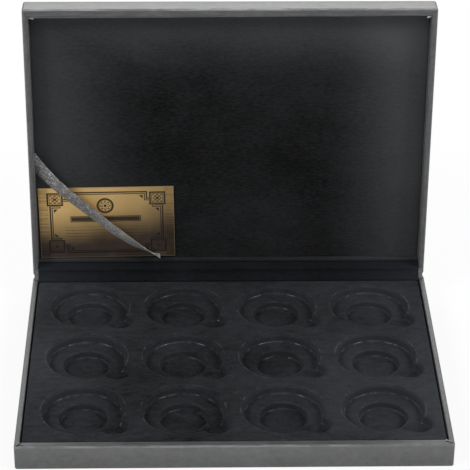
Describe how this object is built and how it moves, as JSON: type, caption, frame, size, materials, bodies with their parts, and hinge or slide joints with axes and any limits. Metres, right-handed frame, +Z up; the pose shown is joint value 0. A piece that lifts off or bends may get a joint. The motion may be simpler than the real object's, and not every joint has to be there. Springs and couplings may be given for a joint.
{
  "type": "coin display case",
  "caption": "Hinged display case: a wrapped base with a flocked coin tray, and a velvet-lined lid with a certificate card held by a corner ribbon.",
  "frame": {"origin": "centre of the base's underside", "axes": "+X to the right along the hinge line, +Y from the base's front edge to the hinge, +Z up; the lid stands open at the back"},
  "size_m": [0.25, 0.2032, 0.1994],
  "materials": {
    "leatherette": "fine-grained black leatherette with a soft sheen",
    "core_board": "raw fibreboard, hidden under the wrap",
    "underside_felt": "thin pressed felt",
    "flocked_tray": "black flock on formed sheet",
    "lid_velvet": "short black velvet",
    "hinge_cloth": "matt black cloth",
    "ribbon_satin": "grey woven satin",
    "hinge_steel": "plated, satin",
    "gilt_card": "gilt, brushed, with dark engraved lines"
  },
  "bodies": {
    "case_base": {"base_bottom_board": "core_board", "base_front_wall": "core_board", "base_back_wall": "core_board", "base_left_wall": "core_board", "base_right_wall": "core_board", "base_wrap": "leatherette", "base_foot_sheet": "underside_felt", "coin_tray": "flocked_tray", "hinge_base_leaf_left": "hinge_steel", "hinge_base_leaf_right": "hinge_steel", "hinge_pin_left": "hinge_steel", "hinge_pin_right": "hinge_steel", "hinge_base_screws": "hinge_steel", "hinge_lining": "hinge_cloth"},
    "lid": {"lid_panel_board": "core_board", "lid_front_wall": "core_board", "lid_back_wall": "core_board", "lid_left_wall": "core_board", "lid_right_wall": "core_board", "lid_wrap": "leatherette", "lid_lining_board": "core_board", "lid_lining_pad": "lid_velvet", "card_ledge": "lid_velvet", "card_ribbon": "ribbon_satin", "hinge_lid_leaf_left": "hinge_steel", "hinge_lid_leaf_right": "hinge_steel", "hinge_lid_screws": "hinge_steel"},
    "card": {"certificate_card": "gilt_card"}
  },
  "joints": [
    {"name": "lid_hinge", "type": "hinge", "parent": "case_base", "child": "lid", "pos_m": [0, 0.09175, 0.016], "axis": [1, 0, 0], "range_deg": [0, 91.8], "deforming": ["hinge_lining"]},
    {"name": "card_slide", "type": "slide", "parent": "lid", "child": "card", "axis": [0.9999, 0.0005, 0.0157], "range_m": [0, 0.09]}
  ]
}
